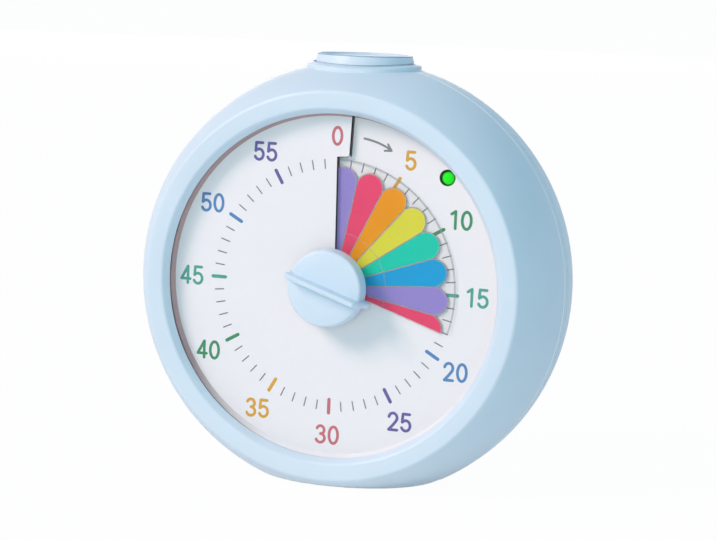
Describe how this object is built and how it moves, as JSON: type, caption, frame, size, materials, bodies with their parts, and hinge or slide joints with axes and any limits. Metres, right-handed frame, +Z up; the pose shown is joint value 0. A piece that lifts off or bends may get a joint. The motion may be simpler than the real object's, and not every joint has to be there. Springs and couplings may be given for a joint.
{
  "type": "visual countdown timer",
  "caption": "Round desk countdown timer with a setting knob, a colour film that comes out of a slot in the dial, a lamp, a top button and a battery box behind.",
  "frame": {"origin": "middle of the rubber pad under the foot, in the plane that the timer stands on, under the seam between the two shells", "axes": "+Z up, -Y out of the dial towards the user, +X to the right of the dial"},
  "size_m": [0.105, 0.0491, 0.1019],
  "materials": {
    "housing_plastic": "fine satin moulded plastic, pale blue",
    "button_plastic": "satin moulded plastic, pale blue",
    "knob_plastic": "satin moulded plastic, pale blue",
    "window_acrylic": "clear polished acrylic",
    "dial_card": "matt white plastic sheet with printed ticks and numbers",
    "frame_plastic": "warm grey moulded plastic",
    "film_print": "clear polyester film with printed petals in six colours",
    "clear_plastic": "natural moulded plastic",
    "steel": "plain turned steel",
    "spring_steel": "nickel-plated spring steel",
    "brass": "plain turned brass",
    "gear_plastic": "natural acetal",
    "screw_steel": "zinc-plated steel",
    "dark_plastic": "black moulded plastic",
    "plunger_plastic": "white moulded plastic",
    "switch_metal": "tinned sheet steel",
    "slider_plastic": "grey moulded plastic",
    "circuit_laminate": "green solder mask on glass-fibre board",
    "lamp_green": "clear epoxy lamp, lit green",
    "cell_sleeve": "printed sleeve, plain",
    "pad_rubber": "soft grey rubber"
  },
  "bodies": {
    "case": {"front_housing": "housing_plastic", "rear_housing": "housing_plastic", "window": "window_acrylic", "dial_plate": "dial_card", "dial_frame": "frame_plastic", "idler_axle": "steel", "motor": "steel", "button_spring": "spring_steel", "contact_springs": "spring_steel", "contact_plates": "spring_steel", "arbor_bush": "brass", "movement_plate": "gear_plastic", "movement_screws": "screw_steel", "frame_screws": "screw_steel", "board_screws": "screw_steel", "housing_screws": "screw_steel", "position_sensor": "dark_plastic", "button_switch": "dark_plastic", "board_components": "dark_plastic", "buzzer": "dark_plastic", "volume_switch": "switch_metal", "circuit_board": "circuit_laminate", "button_board": "circuit_laminate", "lamp": "lamp_green", "battery_cells": "cell_sleeve", "foot_pad": "pad_rubber"},
    "knob": {"knob": "knob_plastic", "arbor": "steel", "arbor_wheel": "gear_plastic", "clutch_spring": "spring_steel", "retaining_rings": "steel"},
    "film": {"colour_film": "film_print", "film_hub": "clear_plastic"},
    "idler": {"idler_gear": "gear_plastic"},
    "motor_rotor": {"motor_shaft": "steel", "motor_pinion": "brass"},
    "button": {"top_button": "button_plastic"},
    "plunger": {"switch_plunger": "plunger_plastic"},
    "volume_slider": {"volume_slider": "slider_plastic"},
    "battery_door": {"battery_door": "housing_plastic"}
  },
  "joints": [
    {"name": "knob_turn", "type": "hinge", "parent": "case", "child": "knob", "pos_m": [0, 0, 0.048], "axis": [0, 1, 0], "range_deg": [-108.6, 251.4]},
    {"name": "film_advance", "type": "slide", "parent": "knob", "child": "film", "axis": [0, -1, 0], "range_m": [-0.00037, 0.00085]},
    {"name": "idler_spin", "type": "hinge", "parent": "case", "child": "idler", "pos_m": [-0.01299, 0, 0.0555], "axis": [0, 1, 0], "range_deg": [-1006, 435]},
    {"name": "motor_spin", "type": "hinge", "parent": "case", "child": "motor_rotor", "pos_m": [-0.00549, 0, 0.06849], "axis": [0, 1, 0], "range_deg": [-1738, 4023]},
    {"name": "button_press", "type": "slide", "parent": "case", "child": "button", "axis": [0, 0, -1], "range_m": [0, 0.0012], "stiffness_N_per_m": 400, "springref_m": -0.0012, "deforming": ["button_spring"]},
    {"name": "plunger_press", "type": "slide", "parent": "case", "child": "plunger", "axis": [0, 0, -1], "range_m": [0, 0.0012]},
    {"name": "volume_slide", "type": "slide", "parent": "case", "child": "volume_slider", "axis": [1, 0, 0], "range_m": [-0.002, 0.002]},
    {"name": "door_off", "type": "slide", "parent": "case", "child": "battery_door", "axis": [0, 1, 0], "range_m": [0, 0.02]}
  ],
  "couplings": [
    {"joint": "film_advance", "follows": "knob_turn", "m_per_rad": 0.00019099},
    {"joint": "idler_spin", "follows": "knob_turn", "ratio": -4},
    {"joint": "motor_spin", "follows": "knob_turn", "ratio": 16},
    {"joint": "plunger_press", "follows": "button_press", "ratio": 1}
  ]
}
